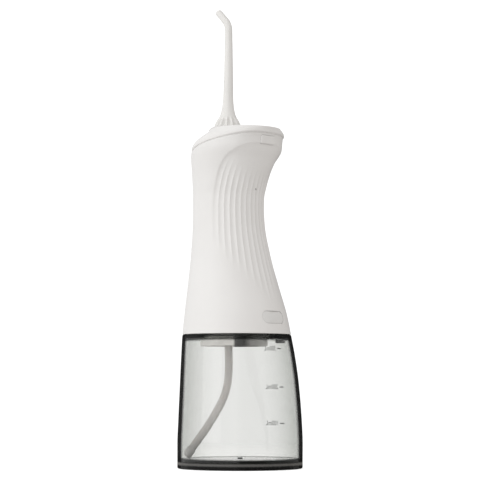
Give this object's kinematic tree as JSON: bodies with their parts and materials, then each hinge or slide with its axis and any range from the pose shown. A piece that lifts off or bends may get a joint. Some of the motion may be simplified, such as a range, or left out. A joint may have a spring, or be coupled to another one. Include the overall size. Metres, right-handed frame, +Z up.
{
  "type": "water flosser",
  "caption": "Cordless water flosser with a fluted white handle, bent jet nozzle and clear clip-on tank.",
  "frame": {"origin": "centre of the tank's base", "axes": "+Z up, -Y towards the front with the power button, +X to its right"},
  "size_m": [0.0812, 0.0811, 0.3024],
  "materials": {
    "shell": "satin off-white moulded plastic",
    "dial": "off-white moulded plastic",
    "nozzle": "off-white moulded plastic",
    "tank": "clear, lightly smoked plastic",
    "foot_rubber": "matte rubber",
    "collar": "satin grey plastic",
    "inner_grey": "plain grey plastic",
    "dark_trim": "matte black plastic",
    "seal_rubber": "matte rubber",
    "key_rubber": "soft white rubber",
    "hose": "cloudy silicone",
    "acetal": "natural acetal",
    "steel": "bare steel",
    "brass": "machined brass",
    "board": "green solder mask",
    "battery_wrap": "shrink wrap",
    "lens": "milky light guide"
  },
  "bodies": {
    "tank": {"tank_shell": "tank", "tank_base": "foot_rubber", "breather_valve": "dark_trim"},
    "handle": {"main_housing": "shell", "head_cap": "shell", "nozzle_socket": "inner_grey", "release_spring": "steel", "power_switch": "dark_trim", "mode_switch": "dark_trim", "circuit_board": "board", "charge_socket": "dark_trim", "charge_light": "lens", "battery": "battery_wrap", "chassis": "inner_grey", "motor": "steel", "gear_axle": "steel", "pump_body": "acetal", "inlet_valve": "seal_rubber", "outlet_valve": "seal_rubber", "inlet_tube": "hose", "outlet_tube": "hose", "lower_cover": "collar", "tank_seal": "seal_rubber", "hose_fitting": "dark_trim", "suction_hose": "hose", "hose_filter": "hose", "indicator_lens_1": "lens", "indicator_lens_2": "lens", "indicator_lens_3": "lens", "indicator_lens_4": "lens", "indicator_lens_5": "lens", "cover_screw_1": "steel", "cover_screw_2": "steel", "cover_screw_3": "steel", "cover_screw_4": "steel", "motor_screw_1": "steel", "motor_screw_2": "steel"},
    "dial": {"nozzle_dial": "dial"},
    "nozzle": {"jet_nozzle": "nozzle", "nozzle_oring": "seal_rubber"},
    "release": {"release_button": "shell", "release_latch": "acetal"},
    "power_key": {"power_button": "key_rubber"},
    "mode_key": {"mode_button": "key_rubber"},
    "port_cover": {"charge_port_cover": "key_rubber"},
    "crank": {"crank_gear": "acetal"},
    "pinion": {"motor_pinion": "brass"},
    "plunger": {"piston": "acetal", "piston_seal": "seal_rubber"},
    "rod": {"connecting_rod": "acetal"}
  },
  "joints": [
    {"name": "handle_lift", "type": "slide", "parent": "tank", "child": "handle", "axis": [0, 0, 1], "range_m": [0, 0.11], "deforming": ["suction_hose", "hose_filter"]},
    {"name": "dial_turn", "type": "hinge", "parent": "handle", "child": "dial", "pos_m": [0, -0.0103, 0.2215], "axis": [0, 0, 1], "continuous": true},
    {"name": "nozzle_pull", "type": "slide", "parent": "dial", "child": "nozzle", "axis": [0, 0, 1], "range_m": [0, 0.03]},
    {"name": "release_press", "type": "slide", "parent": "handle", "child": "release", "axis": [0, -1, 0], "range_m": [0, 0.0018], "stiffness_N_per_m": 400, "springref_m": -0.002, "deforming": ["release_spring"]},
    {"name": "power_press", "type": "slide", "parent": "handle", "child": "power_key", "axis": [0, 1, 0], "range_m": [0, 0.001], "stiffness_N_per_m": 400, "springref_m": -0.001},
    {"name": "mode_press", "type": "slide", "parent": "handle", "child": "mode_key", "axis": [0, 1, 0], "range_m": [0, 0.001], "stiffness_N_per_m": 400, "springref_m": -0.001},
    {"name": "port_cover_hinge", "type": "hinge", "parent": "handle", "child": "port_cover", "pos_m": [-0.01, 0.0297, 0.09675], "axis": [0, 0, 1], "range_deg": [0, 100]},
    {"name": "crank_turn", "type": "hinge", "parent": "handle", "child": "crank", "pos_m": [0, -0.009, 0.1257], "axis": [0, 0, 1], "continuous": true},
    {"name": "pinion_turn", "type": "hinge", "parent": "handle", "child": "pinion", "pos_m": [0, 0.007, 0.1257], "axis": [0, 0, 1], "continuous": true},
    {"name": "piston_stroke", "type": "slide", "parent": "handle", "child": "plunger", "axis": [1, 0, 0], "range_m": [-0.0064, 0]},
    {"name": "rod_swing", "type": "hinge", "parent": "plunger", "child": "rod", "pos_m": [0.0162, -0.009, 0.1178], "axis": [0, 0, 1], "range_deg": [-14.2, 14.2]}
  ],
  "couplings": [
    {"joint": "pinion_turn", "follows": "crank_turn", "ratio": -3}
  ]
}
